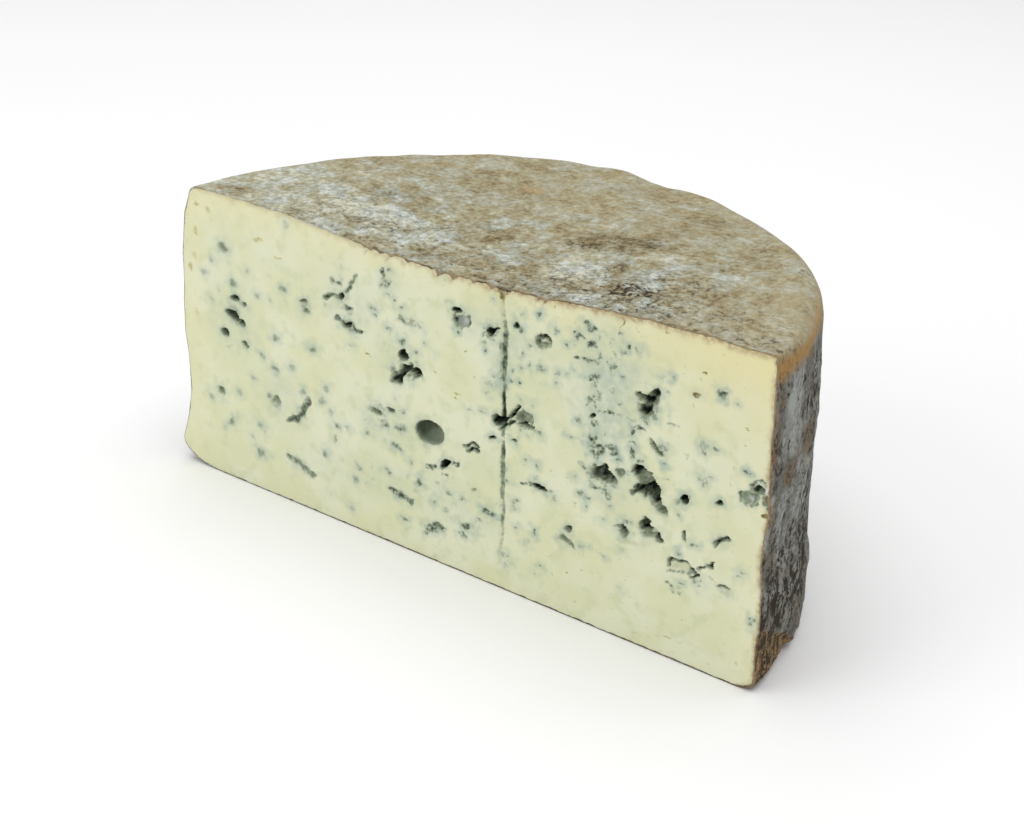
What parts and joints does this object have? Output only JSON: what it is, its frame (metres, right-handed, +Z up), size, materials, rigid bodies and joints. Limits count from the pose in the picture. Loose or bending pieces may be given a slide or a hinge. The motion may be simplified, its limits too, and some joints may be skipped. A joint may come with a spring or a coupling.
{
  "type": "half wheel of blue cheese",
  "caption": "Half wheel of soft blue cheese standing on its base: an upright cut face with mould pockets and a needle channel, and a dry natural rind on top, wall and base.",
  "frame": {"origin": "centre of the bounding box, on the plane that the base stands on", "axes": "+X along the cut, the cut face looks towards -Y, +Z up from the base"},
  "size_m": [0.2122, 0.109, 0.0981],
  "materials": {
    "paste": "moist pale cream paste with grey-green mould in its pockets",
    "rind": "dry natural rind, mottled grey-white over ochre brown, with dark creases"
  },
  "bodies": {
    "root": {"half_wheel": "paste"}
  },
  "joints": []
}
